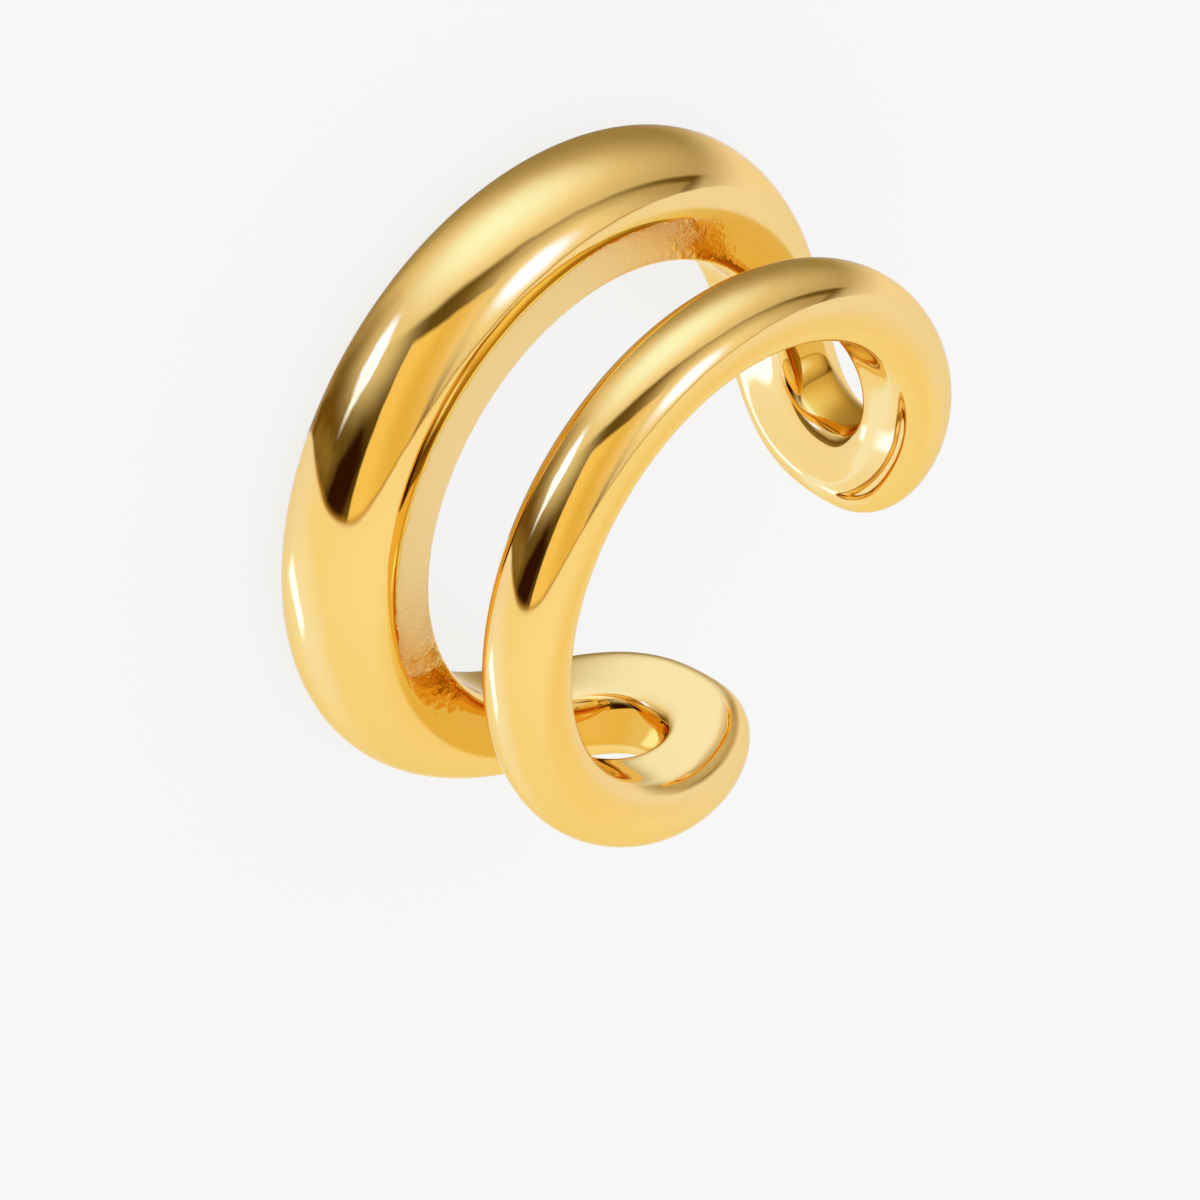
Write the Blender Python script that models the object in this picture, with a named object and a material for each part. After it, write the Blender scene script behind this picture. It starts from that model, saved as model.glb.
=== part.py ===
"""Ear cuff, modelled as the one solid that such a cast piece is.

A wide and a narrow domed bar run side by side round a ring that is open at one side.
They join in a rounded tip at each end of the opening, and a long slot lies between them.
The cuff lies on the wide bar's side: +Z runs from the wide bar to the narrow bar,
+X points out of the ring's opening, and the origin is below its middle, on the floor.

The solid is one closed tube round the slot. A station is a place along that tube. At each
station a D-shaped section spans from the slot's edge to the outer edge, both of them drawn on
the unrolled ring as an angle and a height. Towards a tip each edge turns in along a rounding.
"""

import math
from collections import namedtuple

import bpy
import numpy as np

MM = 0.001

# Ring
INNER_RADIUS = 4.2 * MM
OVAL_RATIO = 0.866  # depth along X over height along Y
TIP_ANGLE = math.radians(156.1)  # from the middle of the bars to the end of a tip
TIP_REACH_ANGLE = math.radians(20.4)  # from the end of the slot to the end of a tip
SLOT_ANGLE = TIP_ANGLE - TIP_REACH_ANGLE
TIP_RISE = 0.27 * MM  # from the slot's middle line to the tips, towards the narrow bar
TIP_CURL = 0.35 * MM  # how far the tips close in from the ring's true radius
TIP_THICKNESS = 1.43 * MM

# Slot
SLOT_WIDTH = 2.22 * MM
SLOT_TURN_ANGLE = math.radians(24.5)  # stretch of the slot's rounded end

# Bars, at the middle; the taper is how much narrower a bar is where it turns in
WIDE_BAR_WIDTH = 2.36 * MM
WIDE_BAR_THICKNESS = 2.08 * MM
WIDE_BAR_TAPER = 0.16 * MM
NARROW_BAR_WIDTH = 1.63 * MM
NARROW_BAR_THICKNESS = 1.25 * MM
NARROW_BAR_TAPER = 0.1 * MM
# rounding: stretch of the outer edge's turn, thinning: how early the bar thins towards the tips
Bar = namedtuple("Bar", "width thickness taper rounding thinning outline")
ROUNDNESS = 2.43  # of the edges' turns: 2 is an ellipse, more is squarer
SECTION_BLEND = 0.79  # how early the bar's section gives way to the tip's: less is later
SLANT_REACH = 0.72  # share of a bar's half over which the sections turn with the tip

# The D-shaped section, as points that guide a smooth curve, in shares of its width and its
# thickness: a line each for the slot wall, its shoulder and the dome, the outer side, the base
WIDE_OUTLINE = np.array([
    (0.0, 0.0), (0.0, 0.07), (0.0, 0.22), (0.0, 0.39),
    (0.01, 0.45), (0.1, 0.71), (0.31, 0.95), (0.55, 1.04),
    (0.78, 0.98), (0.94, 0.8), (1.02, 0.51), (0.98, 0.25),
    (0.86, 0.04), (0.7, 0.0), (0.4, 0.0), (0.08, 0.0),
])
NARROW_OUTLINE = np.array([
    (0.0, 0.0), (0.0, 0.07), (0.0, 0.2), (0.0, 0.32),
    (0.01, 0.37), (0.08, 0.68), (0.25, 0.92), (0.49, 1.04),
    (0.73, 0.95), (0.93, 0.7), (1.03, 0.42), (1.06, 0.2),
    (1.02, 0.03), (0.82, 0.0), (0.45, 0.0), (0.08, 0.0),
])
TIP_OUTLINE = np.array([
    (0.09, 0.03), (0.01, 0.13), (0.0, 0.36), (0.0, 0.57),
    (0.02, 0.72), (0.12, 0.95), (0.33, 1.0), (0.62, 1.04),
    (0.85, 0.93), (0.98, 0.76), (1.02, 0.49), (0.94, 0.2),
    (0.74, 0.02), (0.58, 0.0), (0.42, 0.0), (0.24, 0.0),
])
WIDE_BAR = Bar(
    WIDE_BAR_WIDTH, WIDE_BAR_THICKNESS, WIDE_BAR_TAPER,
    rounding=math.radians(50.5), thinning=0.88, outline=WIDE_OUTLINE,
)
NARROW_BAR = Bar(
    NARROW_BAR_WIDTH, NARROW_BAR_THICKNESS, NARROW_BAR_TAPER,
    rounding=math.radians(55.4), thinning=0.86, outline=NARROW_OUTLINE,
)

HALF_BAR_STATIONS = 34
OUTLINE_STEPS = 2  # points of the section for each point that guides it
FINE_STEPS = 2001

GOLD = (0.86, 0.60, 0.22, 1.0)


def blend(end, middle, amount):
    return end + (middle - end) * amount


def smooth_outline(guides):
    """Points of the closed smooth curve that the guiding points draw."""
    before, start, end, after = (np.roll(guides, shift, axis=0)[:, None] for shift in (1, 0, -1, -2))
    share = (np.arange(OUTLINE_STEPS) / OUTLINE_STEPS)[None, :, None]
    curve = (
        (1 - share) ** 3 * before
        + (3 * share ** 3 - 6 * share ** 2 + 4) * start
        + (3 * share + 3 * share ** 2 - 3 * share ** 3 + 1) * end
        + share ** 3 * after
    ) / 6
    return curve.reshape(-1, 2)


def bar_edge(side, middle, taper, end_angle, turn_in):
    """Edge of a bar from the tip to the middle: its length so far, its angles and its heights."""
    quarter = np.linspace(0.0, math.pi / 2, FINE_STEPS)
    start = end_angle - turn_in
    turn = start + turn_in * np.cos(quarter).clip(0.0) ** (2 / ROUNDNESS)
    straight = np.linspace(start, 0.0, FINE_STEPS)[1:]
    angle = np.append(turn, straight)
    lift = np.append(np.sin(quarter) ** (2 / ROUNDNESS), np.ones_like(straight))
    level = side * (middle - taper * (angle / start) ** 2)
    height = blend(TIP_RISE, level, lift)
    run = np.hypot(np.diff(angle) * INNER_RADIUS, np.diff(height))
    return np.append(0.0, np.cumsum(run)), angle, height


def bar_stations(bar, side):
    """Slot angle and height, outer angle and height, from the tip to the middle of a bar."""
    half_slot = SLOT_WIDTH / 2
    slot_run, slot_angle, slot = bar_edge(side, half_slot, 0.0, SLOT_ANGLE, SLOT_TURN_ANGLE)
    outer_run, outer_angle, outer = bar_edge(
        side, half_slot + bar.width, bar.taper, TIP_ANGLE, bar.rounding
    )
    way = (np.arange(HALF_BAR_STATIONS) + 0.5) / HALF_BAR_STATIONS
    # towards a tip the outer edge runs ahead, so the sections turn with the tip
    left = 1.0 - np.minimum(way / SLANT_REACH, 1.0)
    lead = (outer_run[-1] - slot_run[-1]) / 2 * (1.0 - left ** 3)
    mean = (outer_run[-1] + slot_run[-1]) / 2 * way
    columns = [np.interp(mean - lead, slot_run, column) for column in (slot_angle, slot)]
    columns += [np.interp(mean + lead, outer_run, column) for column in (outer_angle, outer)]
    return np.stack(columns, axis=1)


def half_bar(bar, side):
    """Points of half a bar, station by station from the tip to the bar's middle."""
    tip_outline = smooth_outline(TIP_OUTLINE)
    bar_outline = smooth_outline(bar.outline)
    rows = []
    for slot_angle, slot, outer_angle, outer in bar_stations(bar, side):
        way_out = (slot_angle + outer_angle) / (SLOT_ANGLE + TIP_ANGLE)
        fullness = max(0.0, 1.0 - way_out ** 2)
        thickness = blend(TIP_THICKNESS, bar.thickness, fullness ** bar.thinning)
        across, up = blend(tip_outline, bar_outline, fullness ** SECTION_BLEND).T
        angle = blend(slot_angle, outer_angle, across)
        height = blend(slot, outer, across)
        radius = INNER_RADIUS + up * thickness - TIP_CURL * (angle / TIP_ANGLE) ** 4
        rows.append(np.stack([-OVAL_RATIO * radius * np.cos(angle), radius * np.sin(angle), height], axis=1))
    return np.array(rows)


def cuff_points():
    """Points of the whole surface, station by station, before the cuff is laid down."""
    narrow = half_bar(NARROW_BAR, 1)
    wide = half_bar(WIDE_BAR, -1)
    mirror = np.array([1.0, -1.0, 1.0])
    return np.concatenate((narrow, narrow[::-1] * mirror, wide * mirror, wide[::-1]))


def grid_faces(stations, points):
    """Four-sided faces of a grid that closes on itself both ways, facing out."""
    faces = []
    for station in range(stations):
        after = (station + 1) % stations
        for point in range(points):
            beside = (point + 1) % points
            corners = [(station, point), (after, point), (after, beside), (station, beside)]
            faces.append([row * points + column for row, column in corners])
    return faces


def volume_centre(points, faces):
    """Centre of the volume that the faces enclose."""
    corners = points[np.array(faces)]
    total = 0.0
    moment = np.zeros(3)
    for second, third in ((1, 2), (2, 3)):
        a, b, c = corners[:, 0], corners[:, second], corners[:, third]
        volumes = np.einsum("ij,ij->i", a, np.cross(b, c))
        total += volumes.sum()
        moment += (volumes[:, None] * (a + b + c) / 4).sum(axis=0)
    return moment / total


def rest_tilt(points, centre):
    """Angle about Y that lays the cuff on its wide side, as it would rest by itself."""
    behind = points[points[:, 0] <= centre[0]]
    ahead = points[points[:, 0] > centre[0]]
    heel = behind[np.argmin(behind[:, 2])]
    for _ in range(20):
        toe = ahead[np.argmin((ahead[:, 2] - heel[2]) / (ahead[:, 0] - heel[0]))]
        heel = behind[np.argmax((toe[2] - behind[:, 2]) / (toe[0] - behind[:, 0]))]
    return math.atan2(toe[2] - heel[2], toe[0] - heel[0])


def lay_down(points, faces):
    """Turn the cuff into its rest pose and put the origin below its middle."""
    tilt = rest_tilt(points, volume_centre(points, faces))
    cosine, sine = math.cos(tilt), math.sin(tilt)
    turn = np.array([[cosine, 0.0, sine], [0.0, 1.0, 0.0], [-sine, 0.0, cosine]])
    laid = points @ turn.T
    low, high = laid.min(axis=0), laid.max(axis=0)
    return laid - [(low[0] + high[0]) / 2, (low[1] + high[1]) / 2, low[2]]


def gold():
    material = bpy.data.materials.new("polished_gold")
    material.use_nodes = True
    shader = material.node_tree.nodes["Principled BSDF"]
    shader.inputs["Base Color"].default_value = GOLD
    shader.inputs["Metallic"].default_value = 1.0
    shader.inputs["Roughness"].default_value = 0.08
    return material


def make_cuff():
    rows = cuff_points()
    stations, section_points = rows.shape[:2]
    faces = grid_faces(stations, section_points)
    points = lay_down(rows.reshape(-1, 3), faces)
    mesh = bpy.data.meshes.new("ear_cuff")
    mesh.from_pydata(points.tolist(), [], faces)
    mesh.shade_smooth()
    mesh.materials.append(gold())
    cuff = bpy.data.objects.new("ear_cuff", mesh)
    bpy.context.scene.collection.objects.link(cuff)
    return cuff


def main():
    for old in list(bpy.data.objects):
        bpy.data.objects.remove(old, do_unlink=True)
    make_cuff()


main()
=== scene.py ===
"""Ear cuff in polished gold, lying on a pale studio floor."""

import math
from collections import namedtuple

import bpy
from mathutils import Matrix, Vector


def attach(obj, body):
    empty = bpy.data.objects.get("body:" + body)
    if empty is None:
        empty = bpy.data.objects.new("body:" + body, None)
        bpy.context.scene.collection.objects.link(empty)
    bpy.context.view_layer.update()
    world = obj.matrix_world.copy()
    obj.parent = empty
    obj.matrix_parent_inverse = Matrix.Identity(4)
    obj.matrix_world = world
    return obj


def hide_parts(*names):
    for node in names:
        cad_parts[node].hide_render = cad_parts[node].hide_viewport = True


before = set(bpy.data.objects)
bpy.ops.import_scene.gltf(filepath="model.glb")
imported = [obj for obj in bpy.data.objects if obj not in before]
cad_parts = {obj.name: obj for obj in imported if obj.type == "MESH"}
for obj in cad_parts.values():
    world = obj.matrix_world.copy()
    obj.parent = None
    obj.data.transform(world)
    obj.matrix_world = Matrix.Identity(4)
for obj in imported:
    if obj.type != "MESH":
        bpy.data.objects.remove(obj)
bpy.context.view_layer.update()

MM = 0.001

# Ring, as in the part's source
INNER_RADIUS = 4.2 * MM
OVAL_RATIO = 0.866
TIP_ANGLE = math.radians(156.1)
TIP_REACH_ANGLE = math.radians(20.4)
TIP_RISE = 0.27 * MM
TIP_CURL = 0.35 * MM
TIP_THICKNESS = 1.43 * MM
REST_TILT = math.radians(1.68)

# Slot
SLOT_WIDTH = 2.22 * MM
SLOT_TURN_ANGLE = math.radians(24.5)

# Bars: width and thickness at the middle, how much narrower the bar is where it turns in,
# the stretch of the turn, and how early the bar thins
Bar = namedtuple("Bar", "width thickness taper rounding thinning")
WIDE_BAR = Bar(2.36 * MM, 2.08 * MM, 0.16 * MM, math.radians(50.5), 0.88)
NARROW_BAR = Bar(1.63 * MM, 1.25 * MM, 0.1 * MM, math.radians(55.4), 0.86)
ROUNDNESS = 2.43
SECTION_BLEND = 0.79
SLANT_REACH = 0.72

# Section outlines as control points, in shares of a bar's width and thickness:
# the slot wall, its shoulder, the dome, the outer side and the flat inner face
WIDE_OUTLINE = [
    (0.0, 0.0), (0.0, 0.07), (0.0, 0.22), (0.0, 0.39),
    (0.01, 0.45), (0.1, 0.71), (0.31, 0.95), (0.55, 1.04),
    (0.78, 0.98), (0.94, 0.8), (1.02, 0.51), (0.98, 0.25),
    (0.86, 0.04), (0.7, 0.0), (0.4, 0.0), (0.08, 0.0),
]
NARROW_OUTLINE = [
    (0.0, 0.0), (0.0, 0.07), (0.0, 0.2), (0.0, 0.32),
    (0.01, 0.37), (0.08, 0.68), (0.25, 0.92), (0.49, 1.04),
    (0.73, 0.95), (0.93, 0.7), (1.03, 0.42), (1.06, 0.2),
    (1.02, 0.03), (0.82, 0.0), (0.45, 0.0), (0.08, 0.0),
]
TIP_OUTLINE = [
    (0.09, 0.03), (0.01, 0.13), (0.0, 0.36), (0.0, 0.57),
    (0.02, 0.72), (0.12, 0.95), (0.33, 1.0), (0.62, 1.04),
    (0.85, 0.93), (0.98, 0.76), (1.02, 0.49), (0.94, 0.2),
    (0.74, 0.02), (0.58, 0.0), (0.42, 0.0), (0.24, 0.0),
]

# Steps of the mesh
OUTLINE_STEPS = 10  # points of a section for each of its control points
STATIONS = 440  # sections round the slot
EDGE_POINTS = 1601  # points that each edge is measured at
SEAM = 0.0001 * MM  # the tube's two ends are joined where their points are this near

# Camera: the photograph's angle to the cuff
CAMERA_AZIMUTH = math.radians(272.04)
CAMERA_ELEVATION = math.radians(43.61)
CAMERA_ROLL = math.radians(-120.39)
CAMERA_TARGET = Vector((0.837, -1.735, 3.389)) * MM
CAMERA_DISTANCE = 500 * MM
VIEW_WIDTH = 20.42 * MM
CLIP_START = 10 * MM
CLIP_END = 20000 * MM
SENSOR = 36.0

# Table, pale enough below the cuff for a faint shadow
TABLE_REACH = 2000 * MM
TABLE_ROUGHNESS = 0.6
TABLE_WHITE = (0.14, 0.14, 0.14, 1.0)
TABLE_GLOW = (0.8, 0.8, 0.8, 1.0)

# Studio, as a mirror ball at the cuff's place would show it to the camera
STUDIO_FRONT = Vector((-0.724, -0.026, 0.690))
STUDIO_RIGHT = Vector((0.577, 0.527, 0.625))
STUDIO_UP = Vector((-0.379, 0.850, -0.366))
TENT_WHITE = (0.97, 0.97, 0.97, 1.0)
TENT_COLOUR = (1.0, 1.06, 1.45, 1.0)
FOLD_SCALE = 11.0
FOLD_SHIFT = 0.09
# A card's place and size are on that ball, which is 1 in radius, and its turn is in degrees. soft is
# how far its edges fade each way, for a round card as a share of its size. cover is its share over
# what is behind it, bend curves it, within keeps it on another card, and folded gives it the uneven
# edges of creased cloth.
Card = namedtuple(
    "Card", "name place size turn soft colour cover bend round within folded",
    defaults=(1.0, 0.0, False, None, False),
)
STUDIO = [
    Card("far tent", (-0.1, 0.3), (0.8, 0.75), 0, (0.1, 0.1), (0.37, 0.34, 0.27), round=True),
    Card(
        "far tent's pale side", (-0.62, 0.48), (0.32, 0.12), 35, (0.6, 0.6), (0.9, 0.88, 0.85), 0.6,
        round=True,
    ),
    Card(
        "top lamp's glow", (-0.02, 0.45), (0.5, 0.27), -5, (0.75, 0.75), (1.04, 1.05, 1.1),
        round=True,
    ),
    Card("top lamp", (-0.08, 0.5), (0.26, 0.15), 0, (0.9, 0.9), (1.05, 1.5, 2.5), round=True),
    Card(
        "dark front", (-0.11, -0.76), (0.77, 1.0), 0, (0.02, 0.025), (0.13, 0.095, 0.028), bend=0.17,
    ),
    Card(
        "dark front's left", (-0.6, 0.1), (0.4, 0.3), -35, (0.1, 0.1), (0.15, 0.11, 0.035),
        round=True, within="dark front",
    ),
    Card(
        "dark front's haze", (-0.74, 0.3), (0.2, 0.2), -20, (0.7, 0.7), (0.16, 0.1, 0.02), 0.9,
        round=True, folded=True,
    ),
    Card(
        "dark front's fold", (-0.7, 0.1), (0.2, 0.035), -38, (0.05, 0.03), (0.36, 0.28, 0.12), 0.5,
        within="dark front", folded=True,
    ),
    Card(
        "darkest corner", (-0.36, -0.15), (0.17, 0.14), 50, (0.35, 0.35), (0.03, 0.008, 0.003),
        round=True, within="dark front", folded=True,
    ),
    Card("pale right", (0.43, 0.005), (0.215, 0.23), 2, (0.012, 0.02), (0.62, 0.58, 0.5)),
    Card(
        "horizon's shade", (0.36, 0.2), (0.28, 0.045), 5, (0.12, 0.045), (0.3, 0.24, 0.12),
        within="dark front",
    ),
    Card(
        "pale right's shade", (0.6, 0.18), (0.1, 0.12), 0, (0.7, 0.7), (0.4, 0.34, 0.25),
        round=True, within="pale right",
    ),
    Card("front panel", (0.02, -0.122), (0.205, 0.255), -7, (0.01, 0.015), (1.0, 0.86, 0.42)),
    Card(
        "front panel's shade", (0.12, -0.05), (0.15, 0.25), -7, (0.5, 0.5), (0.86, 0.68, 0.25),
        round=True, within="front panel",
    ),
    Card("panel's edge", (0.248, -0.03), (0.17, 0.024), 86, (0.05, 0.03), (0.36, 0.28, 0.09)),
    Card("stand", (0.25, -0.15), (0.08, 0.014), 72, (0.04, 0.01), (0.15, 0.09, 0.02)),
    Card(
        "left lamp's glow", (-0.42, 0.24), (0.22, 0.12), -28, (0.8, 0.8), (1.0, 1.05, 1.1), 0.75,
        round=True,
    ),
    Card(
        "left lamp", (-0.47, 0.272), (0.11, 0.075), 76, (0.35, 0.35), (1.2, 1.9, 6.0),
        round=True, folded=True,
    ),
    Card(
        "left lamp's tail", (-0.5, 0.2), (0.1, 0.03), 72, (0.6, 0.6), (1.2, 1.7, 4.0),
        round=True,
    ),
    Card(
        "right lamp's glow", (0.38, 0.03), (0.19, 0.19), 0, (0.85, 0.85), (1.05, 1.1, 1.2),
        round=True,
    ),
    Card("right lamp", (0.375, 0.035), (0.075, 0.075), 0, (0.6, 0.6), (1.2, 1.9, 6.0), round=True),
    Card(
        "near tent's seam", (-0.07, -1.27), (0.66, 1.0), 0, (0.03, 0.015), (0.5, 0.32, 0.06),
        bend=0.8,
    ),
    Card(
        "near tent", (-0.07, -1.285), (2.0, 1.0), 0, (0.1, 0.012), (0.96, 1.06, 1.45), bend=0.8,
    ),
    Card(
        "near tent's warm side", (-0.1, -0.5), (0.8, 0.65), 0, (0.3, 0.3), (1.01, 1.03, 0.88), 0.9,
        round=True, within="near tent",
    ),
    Card(
        "near tent's glow", (0.15, -0.42), (0.4, 0.15), -5, (0.9, 0.9), (1.04, 1.1, 1.15),
        round=True, within="near tent", folded=True,
    ),
    Card(
        "near tent's pale fold", (-0.63, -0.44), (0.42, 0.14), -55, (0.8, 0.8), (1.02, 1.2, 1.8), 0.9,
        round=True, within="near tent", folded=True,
    ),
    Card(
        "near tent's deep fold", (0.5, -0.4), (0.3, 0.12), 50, (0.9, 0.9), (0.97, 0.88, 0.55), 0.7,
        round=True, within="near tent", folded=True,
    ),
    Card("left strip", (-0.755, -0.31), (0.17, 0.028), -57, (0.05, 0.014), (1.3, 2.0, 5.0)),
]

# Small round card in the ring's hollow. Where it has faded out and where it is full, and how far its
# sheet reaches, are shares of its size.
BOUNCE_PLACE = Vector((2.8, 0.1, 1.7)) * MM
BOUNCE_TOWARDS = Vector((0.117, -0.784, 0.609))
BOUNCE_SIZE = (3.2 * MM, 2.9 * MM)
BOUNCE_COLOUR = (1.03, 1.27, 2.1, 1.0)
BOUNCE_FADE = (1.15, 0.35)
BOUNCE_REACH = 1.5

# Gold: all over; on the slot's walls, deeper for a painted reflection of the facing bar and darker
# still near the slot's ends for painted shade; and where it is left as it was cast, paler for a
# painted sheen
GOLD = (0.93, 0.61, 0.19, 1.0)
WALL_REFLECTION_GOLD = (0.88, 0.57, 0.11, 1.0)
SLOT_END_SHADE_GOLD = (0.8, 0.42, 0.055, 1.0)
CAST_GOLD_AND_SHEEN = (0.88, 0.65, 0.32, 1.0)
EDGE_TINT = (0.92, 0.82, 0.58, 1.0)  # of what it mirrors at a flat angle
POLISH = 0.03
WORN_POLISH = 0.07
INSIDE_POLISH = 0.07
CAST_ROUGHNESS = 0.32

# Noises of the gold, as scale and detail, and heights in mm
WAVES = (650.0, 2.0)
WAVE_HEIGHT = 0.012
GRAIN = (9000.0, 2.0)
GRAIN_HEIGHT = 0.005
DENTS = (3600.0, 3.0)
DENT_HEIGHT = 0.018
SKIN_HOLLOW = 0.012  # depth of the cast skin below the polished gold
WEAR = (900.0, 4.0)
BORDER = (3600.0, 5.0)
RAGGED = 0.14  # how far the cast skin's borders stray

# Where each mask of the gold is 0, then where it is 1. The section's own measures are its share
# from the slot outwards and its rise from the inner face in mm; fullness is 0 at a tip and 1 in the
# middle of a bar.
WALL_SHARE = (0.03, 0.015)
WALL_TOP = (1.12, 0.97)
# where the painted shade near the slot's ends starts and where it is full
END_SHADE_FULLNESS = (0.92, 0.72)
INSIDE_RISE = (0.05, 0.0)
SKIN_TOP = (0.84, 0.82)
SKIN_FULLNESS = (0.75, 0.83)
DENTS_FULLNESS = (0.6, 0.72)
WORN_NOISE = (0.45, 0.7)


class Wire:
    """A socket of a node tree, whose maths is written as expressions."""

    def __init__(self, nodes, socket):
        self.nodes = nodes
        self.socket = socket

    def __add__(self, other):
        return self.nodes.maths("ADD", self, other)

    def __radd__(self, other):
        return self.nodes.maths("ADD", other, self)

    def __sub__(self, other):
        return self.nodes.maths("SUBTRACT", self, other)

    def __rsub__(self, other):
        return self.nodes.maths("SUBTRACT", other, self)

    def __mul__(self, other):
        return self.nodes.maths("MULTIPLY", self, other)

    def __rmul__(self, other):
        return self.nodes.maths("MULTIPLY", other, self)

    def __truediv__(self, other):
        return self.nodes.maths("DIVIDE", self, other)

    def __rtruediv__(self, other):
        return self.nodes.maths("DIVIDE", other, self)

    def __pow__(self, other):
        return self.nodes.maths("POWER", self, other)

    def __gt__(self, other):
        return self.nodes.maths("GREATER_THAN", self, other)

    def __lt__(self, other):
        return self.nodes.maths("LESS_THAN", self, other)


class Nodes:
    """Adds nodes to a tree."""

    def __init__(self, tree):
        self.tree = tree

    def add(self, kind, settings=None, values=None, output=0):
        """One node: its type, its settings, then the values or links of its sockets."""
        node = self.tree.nodes.new(kind)
        for name, value in (settings or {}).items():
            setattr(node, name, value)
        for name, value in (values or {}).items():
            self.feed(node.inputs[name], value)
        return Wire(self, node.outputs[output])

    def feed(self, socket, value):
        if isinstance(value, Wire):
            self.tree.links.new(value.socket, socket)
        else:
            socket.default_value = value

    def finish(self, kind, shader):
        """Ends a material or a world with its shader."""
        leave = self.tree.nodes.new(kind)
        self.tree.links.new(shader.socket, leave.inputs["Surface"])

    def maths(self, operation, *values):
        return self.add("ShaderNodeMath", {"operation": operation}, dict(enumerate(values)))

    def vector_maths(self, operation, *values, output=0):
        settings = {"operation": operation}
        return self.add("ShaderNodeVectorMath", settings, dict(enumerate(values)), output)

    def whole(self, operation, *values):
        return self.add("FunctionNodeIntegerMath", {"operation": operation}, dict(enumerate(values)))

    def combine(self, x, y, z):
        return self.add("ShaderNodeCombineXYZ", {}, {0: x, 1: y, 2: z})

    def separate(self, vector):
        """The three parts of a vector."""
        x = self.add("ShaderNodeSeparateXYZ", {}, {0: vector})
        return [Wire(self, socket) for socket in x.socket.node.outputs]

    def mix(self, start, end, share):
        """Vectors from start to end."""
        settings = {"data_type": "VECTOR"}
        return self.add("ShaderNodeMix", settings, {0: share, 4: start, 5: end}, 1)

    def mix_colours(self, start, end, share):
        settings = {"data_type": "RGBA"}
        return self.add("ShaderNodeMix", settings, {0: share, 6: start, 7: end}, 2)

    def smooth_step(self, value, start, end):
        """0 before start and 1 past end, rising softly between them; start may be the greater."""
        settings = {"interpolation_type": "SMOOTHSTEP"}
        values = {"Value": value, "From Min": start, "From Max": end}
        return self.add("ShaderNodeMapRange", settings, values)


def blend(start, end, share):
    return start + (end - start) * share


# Geometry


def outline_curve(name, points):
    """A closed smooth curve through the neighbourhood of its control points."""
    curve = bpy.data.curves.new(name, "CURVE")
    curve.dimensions = "3D"
    spline = curve.splines.new("NURBS")
    spline.points.add(len(points) - 1)
    for point, (across, up) in zip(spline.points, points):
        point.co = (across, up, 0.0, 1.0)
    spline.order_u = 4
    spline.use_cyclic_u = True
    spline.resolution_u = OUTLINE_STEPS
    curve.resolution_u = OUTLINE_STEPS
    outline = bpy.data.objects.new(name, curve)
    bpy.context.scene.collection.objects.link(outline)
    return outline


CUFF_INPUTS = {
    "Inner Radius": INNER_RADIUS,
    "Oval": OVAL_RATIO,
    "Tip Angle": TIP_ANGLE,
    "Tip Reach": TIP_REACH_ANGLE,
    "Tip Rise": TIP_RISE,
    "Tip Curl": TIP_CURL,
    "Tip Thickness": TIP_THICKNESS,
    "Slot Width": SLOT_WIDTH,
    "Slot Rounding": SLOT_TURN_ANGLE,
    "Wide Width": WIDE_BAR.width,
    "Wide Thickness": WIDE_BAR.thickness,
    "Wide Taper": WIDE_BAR.taper,
    "Wide Rounding": WIDE_BAR.rounding,
    "Wide Thinning": WIDE_BAR.thinning,
    "Narrow Width": NARROW_BAR.width,
    "Narrow Thickness": NARROW_BAR.thickness,
    "Narrow Taper": NARROW_BAR.taper,
    "Narrow Rounding": NARROW_BAR.rounding,
    "Narrow Thinning": NARROW_BAR.thinning,
    "Roundness": ROUNDNESS,
    "Section Blend": SECTION_BLEND,
    "Slant Reach": SLANT_REACH,
    "Rest Tilt": REST_TILT,
}
OUTLINE_INPUTS = {
    "Wide Outline": WIDE_OUTLINE,
    "Narrow Outline": NARROW_OUTLINE,
    "Tip Outline": TIP_OUTLINE,
}


def edge_curve(nodes, size, side, end_angle, turn_in, middle, narrowing):
    """One edge of a bar from the tip to the middle, on the unrolled ring."""
    line = nodes.add("GeometryNodeMeshLine", {}, {"Count": EDGE_POINTS})
    place = nodes.add("GeometryNodeInputIndex") / ((EDGE_POINTS - 1) / 2)
    quarter = nodes.maths("MINIMUM", place, 1.0) * (math.pi / 2)
    run = nodes.maths("MAXIMUM", place - 1.0, 0.0)
    power = 2.0 / size["Roundness"]
    start = end_angle - turn_in
    turn = nodes.maths("MAXIMUM", nodes.maths("COSINE", quarter), 0.0) ** power * turn_in
    angle = (start + turn) * (1.0 - run)
    lift = nodes.maths("SINE", quarter) ** power
    straight = (middle - narrowing * (angle / start) ** 2.0) * side - size["Tip Rise"]
    height = size["Tip Rise"] + straight * lift
    position = nodes.combine(angle * size["Inner Radius"], height, 0.0)
    moved = nodes.add("GeometryNodeSetPosition", {}, {"Geometry": line, "Position": position})
    return nodes.add("GeometryNodeMeshToCurve", {}, {"Mesh": moved})


def sample_edge(nodes, curve, length):
    """Angle (as a length) and height of the edge at a length along it."""
    values = {"Curves": curve, "Length": length}
    place = nodes.add("GeometryNodeSampleCurve", {"mode": "LENGTH"}, values, "Position")
    return nodes.separate(place)[:2]


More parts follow.
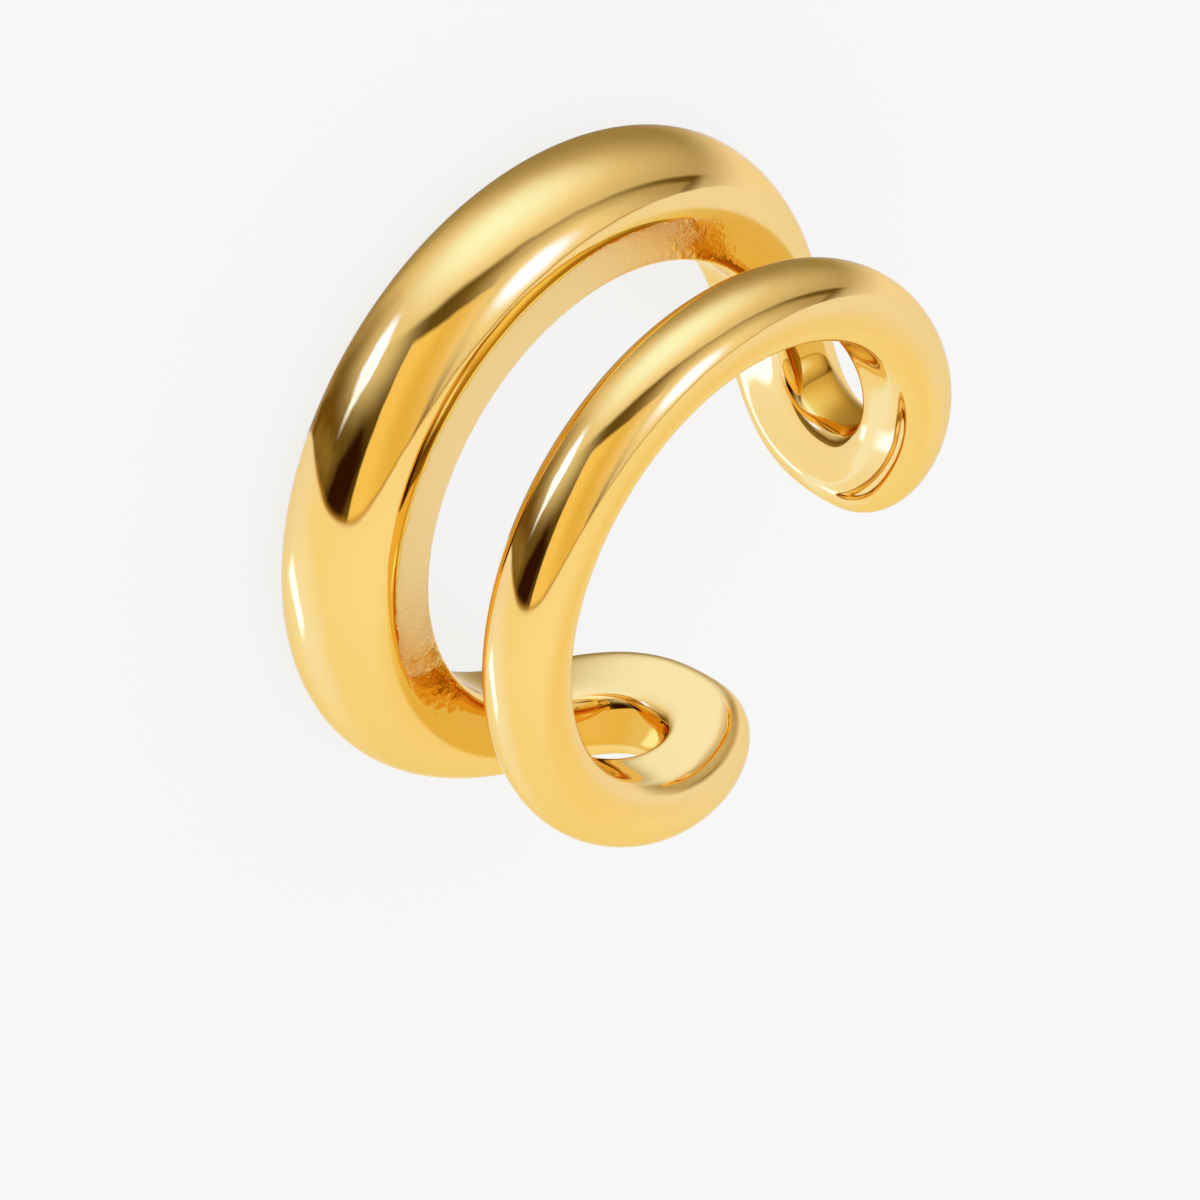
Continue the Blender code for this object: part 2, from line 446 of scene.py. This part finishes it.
def bar_edges(nodes, size, bar, side, way):
    """Slot edge and outer edge of a bar at a station; way is 0 at the tip and 1 in the middle."""
    half_slot = size["Slot Width"] / 2.0
    slot = edge_curve(
        nodes, size, side, size["Tip Angle"] - size["Tip Reach"],
        size["Slot Rounding"], half_slot, 0.0,
    )
    outer = edge_curve(
        nodes, size, side, size["Tip Angle"], size[bar + " Rounding"],
        half_slot + size[bar + " Width"], size[bar + " Taper"],
    )
    slot_length = nodes.add("GeometryNodeCurveLength", {}, {"Curve": slot})
    outer_length = nodes.add("GeometryNodeCurveLength", {}, {"Curve": outer})
    # towards a tip the outer edge runs ahead, so the sections turn with the tip
    left = 1.0 - nodes.maths("MINIMUM", way / size["Slant Reach"], 1.0)
    lead = (outer_length - slot_length) / 2.0 * (1.0 - left ** 3.0)
    mean = (outer_length + slot_length) / 2.0 * way
    slot_place = sample_edge(nodes, slot, mean - lead)
    outer_place = sample_edge(nodes, outer, mean + lead)
    return [*slot_place, *outer_place]


def sample_outline(nodes, outline, point):
    """Place on a section outline, in shares of width and thickness."""
    shape = nodes.add("GeometryNodeObjectInfo", {}, {"Object": outline}, "Geometry")
    line = nodes.add("GeometryNodeCurveToMesh", {}, {"Curve": shape})
    position = nodes.add("GeometryNodeInputPosition")
    settings = {"data_type": "FLOAT_VECTOR", "domain": "POINT"}
    values = {"Geometry": line, "Value": position, "Index": point}
    return nodes.add("GeometryNodeSampleIndex", settings, values)


def cuff_tree():
    """Geometry Nodes tree of the cuff: one closed tube of sections round the slot."""
    tree = bpy.data.node_groups.new("Double bar cuff", "GeometryNodeTree")
    for name, value in CUFF_INPUTS.items():
        socket = tree.interface.new_socket(name, in_out="INPUT", socket_type="NodeSocketFloat")
        socket.default_value = value
    for name in OUTLINE_INPUTS:
        tree.interface.new_socket(name, in_out="INPUT", socket_type="NodeSocketObject")
    tree.interface.new_socket("Gold", in_out="INPUT", socket_type="NodeSocketMaterial")
    tree.interface.new_socket("Cuff", in_out="OUTPUT", socket_type="NodeSocketGeometry")
    nodes = Nodes(tree)
    entry = tree.nodes.new("NodeGroupInput")
    size = {socket.name: Wire(nodes, socket) for socket in entry.outputs if socket.name}

    section_points = len(WIDE_OUTLINE) * OUTLINE_STEPS
    values = {"Vertices X": STATIONS + 1, "Vertices Y": section_points + 1}
    grid = nodes.add("GeometryNodeMeshGrid", {}, values)
    index = nodes.add("GeometryNodeInputIndex")
    station = nodes.whole("DIVIDE_FLOOR", index, section_points + 1)
    point = nodes.whole("MODULO", nodes.whole("MODULO", index, section_points + 1), section_points)

    quarters = station / (STATIONS / 4)
    way = nodes.maths("PINGPONG", quarters, 1.0)
    narrow = quarters < 2.0
    past_middle = (quarters > 1.0) * (quarters < 3.0)
    turn_side = 1.0 - past_middle * 2.0

    narrow_edges = bar_edges(nodes, size, "Narrow", 1.0, way)
    wide_edges = bar_edges(nodes, size, "Wide", -1.0, way)
    edges = [blend(wide, thin, narrow) for wide, thin in zip(wide_edges, narrow_edges)]
    slot_run, slot_height, outer_run, outer_height = edges
    slot_angle = slot_run / size["Inner Radius"]
    outer_angle = outer_run / size["Inner Radius"]

    way_out = (slot_angle + outer_angle) / (size["Tip Angle"] * 2.0 - size["Tip Reach"])
    fullness = nodes.maths("MAXIMUM", 1.0 - way_out * way_out, 0.0)
    full_thickness = blend(size["Wide Thickness"], size["Narrow Thickness"], narrow)
    thinning = blend(size["Wide Thinning"], size["Narrow Thinning"], narrow)
    thickness = blend(size["Tip Thickness"], full_thickness, fullness ** thinning)

    wide_place = sample_outline(nodes, size["Wide Outline"], point)
    narrow_place = sample_outline(nodes, size["Narrow Outline"], point)
    tip_place = sample_outline(nodes, size["Tip Outline"], point)
    bar_place = nodes.mix(wide_place, narrow_place, narrow)
    place = nodes.mix(tip_place, bar_place, fullness ** size["Section Blend"])
    across, up, _ = nodes.separate(place)

    angle = blend(slot_angle, outer_angle, across)
    height = blend(slot_height, outer_height, across)
    curl = size["Tip Curl"] * (angle / size["Tip Angle"]) ** 4.0
    radius = size["Inner Radius"] + up * thickness - curl
    depth = radius * nodes.maths("COSINE", angle) * size["Oval"] * -1.0
    breadth = radius * nodes.maths("SINE", angle) * turn_side
    position = nodes.combine(depth, breadth, height)

    shaped = nodes.add("GeometryNodeSetPosition", {}, {"Geometry": grid, "Position": position})
    for name, value in (
        ("across", across), ("rise", up * thickness / MM),
        ("fullness", fullness), ("narrow_bar", narrow),
    ):
        settings = {"data_type": "FLOAT", "domain": "POINT"}
        values = {"Geometry": shaped, "Name": name, "Value": value}
        shaped = nodes.add("GeometryNodeStoreNamedAttribute", settings, values)
    closed = nodes.add("GeometryNodeMergeByDistance", {}, {"Geometry": shaped, "Distance": SEAM})
    turn = nodes.combine(0.0, size["Rest Tilt"], 0.0)
    laid = nodes.add("GeometryNodeTransform", {}, {"Geometry": closed, "Rotation": turn})
    low = nodes.separate(nodes.add("GeometryNodeBoundBox", {}, {"Geometry": laid}, "Min"))
    high = nodes.separate(nodes.add("GeometryNodeBoundBox", {}, {"Geometry": laid}, "Max"))
    shift = nodes.combine((low[0] + high[0]) / -2.0, (low[1] + high[1]) / -2.0, low[2] * -1.0)
    placed = nodes.add("GeometryNodeTransform", {}, {"Geometry": laid, "Translation": shift})
    real = nodes.add("GeometryNodeRealizeInstances", {}, {"Geometry": placed})
    smooth = nodes.add("GeometryNodeSetShadeSmooth", {}, {"Geometry": real})
    values = {"Geometry": smooth, "Material": size["Gold"]}
    finished = nodes.add("GeometryNodeSetMaterial", {}, values)
    leave = tree.nodes.new("NodeGroupOutput")
    tree.links.new(finished.socket, leave.inputs["Cuff"])
    return tree


def make_cuff(gold):
    """The cuff as a plain mesh, from the tree with its sizes set."""
    base = bpy.data.objects.new("cuff_base", bpy.data.meshes.new("cuff_base"))
    bpy.context.scene.collection.objects.link(base)
    modifier = base.modifiers.new("Cuff", "NODES")
    modifier.node_group = cuff_tree()
    outlines = {name: outline_curve(name, points) for name, points in OUTLINE_INPUTS.items()}
    wanted = {**CUFF_INPUTS, **outlines, "Gold": gold}
    for socket in modifier.node_group.interface.items_tree:
        if socket.in_out == "INPUT":
            modifier[socket.identifier] = wanted[socket.name]
    evaluated = base.evaluated_get(bpy.context.evaluated_depsgraph_get())
    mesh = bpy.data.meshes.new_from_object(evaluated)
    mesh.name = "gold_cuff"
    base.modifiers.remove(modifier)
    for spare in (base, *outlines.values()):
        bpy.data.objects.remove(spare, do_unlink=True)
    cuff = bpy.data.objects.new("gold_cuff", mesh)
    bpy.context.scene.collection.objects.link(cuff)
    return cuff


# Finish


def noise(nodes, place, scale, detail):
    values = {"Vector": place, "Scale": scale, "Detail": detail}
    return nodes.add("ShaderNodeTexNoise", {}, values)


def stored(nodes, name):
    """An attribute that the geometry keeps at each point."""
    return nodes.add("ShaderNodeAttribute", {"attribute_name": name}, {}, "Fac")


def polished_gold():
    """Mirror-polished gold with its slow waves, painted reflection and shade on the slot walls, and
    the wide bar's cast slot wall with a painted sheen.
    """
    material = bpy.data.materials.new("polished gold")
    material.use_nodes = True
    material.node_tree.nodes.clear()
    nodes = Nodes(material.node_tree)
    place = nodes.add("ShaderNodeTexCoord", {}, {}, "Object")
    rise = stored(nodes, "rise")
    fullness = stored(nodes, "fullness")
    across = stored(nodes, "across")
    wide = 1.0 - stored(nodes, "narrow_bar")

    stray = (noise(nodes, place, *BORDER) - 0.5) * RAGGED
    wall = nodes.smooth_step(across, *WALL_SHARE)
    # mask of the painted reflection of the facing bar on the slot walls
    wall_reflection_mask = wall * nodes.smooth_step(rise, *WALL_TOP)
    # mask of the painted shade on the slot walls near the slot's ends
    end_shade_mask = nodes.smooth_step(fullness, *END_SHADE_FULLNESS)
    inside = nodes.smooth_step(rise, *INSIDE_RISE)
    cast = wall * wide * nodes.smooth_step(rise + stray, *SKIN_TOP)
    skin_stretch = nodes.smooth_step(fullness + stray, *SKIN_FULLNESS)
    skin = cast * skin_stretch
    dented = cast * nodes.smooth_step(fullness, *DENTS_FULLNESS) * (1.0 - skin_stretch)
    worn = nodes.smooth_step(noise(nodes, place, *WEAR), *WORN_NOISE)

    waves = noise(nodes, place, *WAVES) * WAVE_HEIGHT
    grain = noise(nodes, place, *GRAIN) * GRAIN_HEIGHT * skin
    dents = noise(nodes, place, *DENTS) * DENT_HEIGHT * dented
    height = waves + grain + dents - skin * SKIN_HOLLOW
    bump = nodes.add("ShaderNodeBump", {}, {"Height": height, "Distance": MM})

    # slot wall colour: painted reflection of the facing bar, turning to painted shade near the slot's
    # ends
    painted_wall_colour = nodes.mix_colours(WALL_REFLECTION_GOLD, SLOT_END_SHADE_GOLD, end_shade_mask)
    colour = nodes.mix_colours(GOLD, painted_wall_colour, wall_reflection_mask)
    # the cast skin is rough and grainy, and its paler colour is painted sheen
    colour = nodes.mix_colours(colour, CAST_GOLD_AND_SHEEN, skin)
    polish = blend(blend(POLISH, WORN_POLISH, worn), INSIDE_POLISH, inside)
    roughness = blend(polish, CAST_ROUGHNESS, skin)
    values = {
        "Base Color": colour, "Metallic": 1.0, "Roughness": roughness,
        "Specular Tint": EDGE_TINT, "Normal": bump,
    }
    shader = nodes.add("ShaderNodeBsdfPrincipled", {}, values)
    nodes.finish("ShaderNodeOutputMaterial", shader)
    return material


# Studio


def make_camera():
    """A long lens that sees the cuff from the photograph's angle, and turned as it is there."""
    data = bpy.data.cameras.new("camera")
    data.sensor_width = SENSOR
    data.lens = SENSOR * CAMERA_DISTANCE / VIEW_WIDTH
    data.clip_start = CLIP_START
    data.clip_end = CLIP_END
    level = math.cos(CAMERA_ELEVATION)
    back = Vector((
        math.sin(CAMERA_AZIMUTH) * level,
        -math.cos(CAMERA_AZIMUTH) * level,
        math.sin(CAMERA_ELEVATION),
    ))
    level_right = Vector((0.0, 0.0, 1.0)).cross(back).normalized()
    level_up = back.cross(level_right)
    cosine, sine = math.cos(CAMERA_ROLL), math.sin(CAMERA_ROLL)
    right = level_right * cosine - level_up * sine
    up = level_up * cosine + level_right * sine
    camera = bpy.data.objects.new("camera", data)
    turn = Matrix((right, up, back)).transposed().to_4x4()
    camera.matrix_world = Matrix.Translation(CAMERA_TARGET + back * CAMERA_DISTANCE) @ turn
    bpy.context.scene.collection.objects.link(camera)
    bpy.context.scene.camera = camera


def sheet(name, reach, material):
    """A flat square that reaches so far each way from its middle."""
    mesh = bpy.data.meshes.new(name)
    corners = [(x * reach, y * reach, 0.0) for x, y in ((-1, -1), (1, -1), (1, 1), (-1, 1))]
    mesh.from_pydata(corners, [], [(0, 1, 2, 3)])
    mesh.materials.append(material)
    piece = bpy.data.objects.new(name, mesh)
    bpy.context.scene.collection.objects.link(piece)
    return piece


def make_floor():
    """A white table that glows, so the cuff's shadow is pale; the gold mirrors the studio alone."""
    material = bpy.data.materials.new("white table")
    material.use_nodes = True
    shader = material.node_tree.nodes["Principled BSDF"]
    shader.inputs["Base Color"].default_value = TABLE_WHITE
    shader.inputs["Roughness"].default_value = TABLE_ROUGHNESS
    shader.inputs["Specular IOR Level"].default_value = 0.0
    shader.inputs["Emission Color"].default_value = TABLE_GLOW
    shader.inputs["Emission Strength"].default_value = 1.0
    floor = sheet("floor", TABLE_REACH, material)
    floor.visible_glossy = False


def mirror_ball(nodes):
    """Where a direction shows on a mirror ball seen from the front, -1 to 1 across and up."""
    direction = nodes.add("ShaderNodeTexCoord", {}, {}, "Generated")
    half = nodes.vector_maths("NORMALIZE", nodes.vector_maths("ADD", direction, STUDIO_FRONT))
    across = nodes.vector_maths("DOT_PRODUCT", half, STUDIO_RIGHT, output="Value")
    up = nodes.vector_maths("DOT_PRODUCT", half, STUDIO_UP, output="Value")
    return nodes.combine(across, up, 0.0)


def card_mask(nodes, card, place):
    """1 on a card or lamp of the studio and 0 beside it, with soft edges."""
    length, width = card.size
    values = {
        "Vector": place, "Location": (*card.place, 0.0), "Scale": (length, width, 1.0),
        "Rotation": (0.0, 0.0, math.radians(card.turn)),
    }
    own = nodes.add("ShaderNodeMapping", {"vector_type": "TEXTURE"}, values)
    if card.bend:
        along, aside, _ = nodes.separate(own)
        own = nodes.combine(along, aside - along * along * (card.bend * length ** 2 / width), 0.0)
    if card.round:
        reach = nodes.vector_maths("LENGTH", own, output="Value")
        return nodes.smooth_step(reach, 1.0 + card.soft[0], 1.0 - card.soft[0])
    along, aside, _ = nodes.separate(nodes.vector_maths("ABSOLUTE", own))
    end, side = card.soft[0] / length, card.soft[1] / width
    between_ends = nodes.smooth_step(along, 1.0 + end, 1.0 - end)
    return between_ends * nodes.smooth_step(aside, 1.0 + side, 1.0 - side)


def hang_bounce_card():
    """A small pale card in the ring's hollow that only the lower tip's upper side mirrors."""
    material = bpy.data.materials.new("pale card")
    material.use_nodes = True
    material.node_tree.nodes.clear()
    nodes = Nodes(material.node_tree)
    place = nodes.add("ShaderNodeTexCoord", {}, {}, "Object")
    way_out = nodes.vector_maths("LENGTH", place, output="Value")
    mask = nodes.smooth_step(way_out, *BOUNCE_FADE)
    beside = nodes.add("ShaderNodeBsdfTransparent")
    glow = nodes.add("ShaderNodeEmission", {}, {"Color": BOUNCE_COLOUR})
    both = nodes.add("ShaderNodeMixShader", {}, {0: mask, 1: beside, 2: glow})
    nodes.finish("ShaderNodeOutputMaterial", both)
    card = sheet("bounce_card", BOUNCE_REACH, material)
    turn = BOUNCE_TOWARDS.to_track_quat("Z", "Y").to_matrix().to_4x4()
    size = Matrix.Diagonal((*BOUNCE_SIZE, 1.0, 1.0))
    card.matrix_world = Matrix.Translation(BOUNCE_PLACE) @ turn @ size
    card.visible_camera = False
    card.visible_diffuse = False
    card.visible_shadow = False


def light_studio():
    """A white tent for the floor, and the lamps and cards that the gold mirrors."""
    world = bpy.data.worlds.new("studio")
    world.use_nodes = True
    world.node_tree.nodes.clear()
    nodes = Nodes(world.node_tree)
    place = mirror_ball(nodes)
    folds = nodes.add("ShaderNodeTexNoise", {}, {"Vector": place, "Scale": FOLD_SCALE}, "Color")
    swing = nodes.vector_maths("SUBTRACT", folds, (0.5, 0.5, 0.5))
    shift = nodes.vector_maths("MULTIPLY", swing, (FOLD_SHIFT, FOLD_SHIFT, 0.0))
    folded_place = nodes.vector_maths("ADD", place, shift)
    light = TENT_COLOUR
    masks = {}
    for card in STUDIO:
        mask = card_mask(nodes, card, folded_place if card.folded else place)
        masks[card.name] = mask
        if card.within:
            mask = mask * masks[card.within]
        if card.cover < 1.0:
            mask = mask * card.cover
        light = nodes.mix_colours(light, (*card.colour, 1.0), mask)
    tent = nodes.add("ShaderNodeBackground", {}, {"Color": TENT_WHITE})
    studio = nodes.add("ShaderNodeBackground", {}, {"Color": light})
    mirrored = nodes.add("ShaderNodeLightPath", {}, {}, "Is Glossy Ray")
    both = nodes.add("ShaderNodeMixShader", {}, {0: mirrored, 1: tent, 2: studio})
    nodes.finish("ShaderNodeOutputWorld", both)
    bpy.context.scene.world = world
    bpy.context.scene.view_settings.view_transform = "Standard"


def main():
    cuff = make_cuff(polished_gold())
    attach(cuff, "root")
    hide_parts("ear_cuff")
    make_floor()
    light_studio()
    hang_bounce_card()
    make_camera()


main()
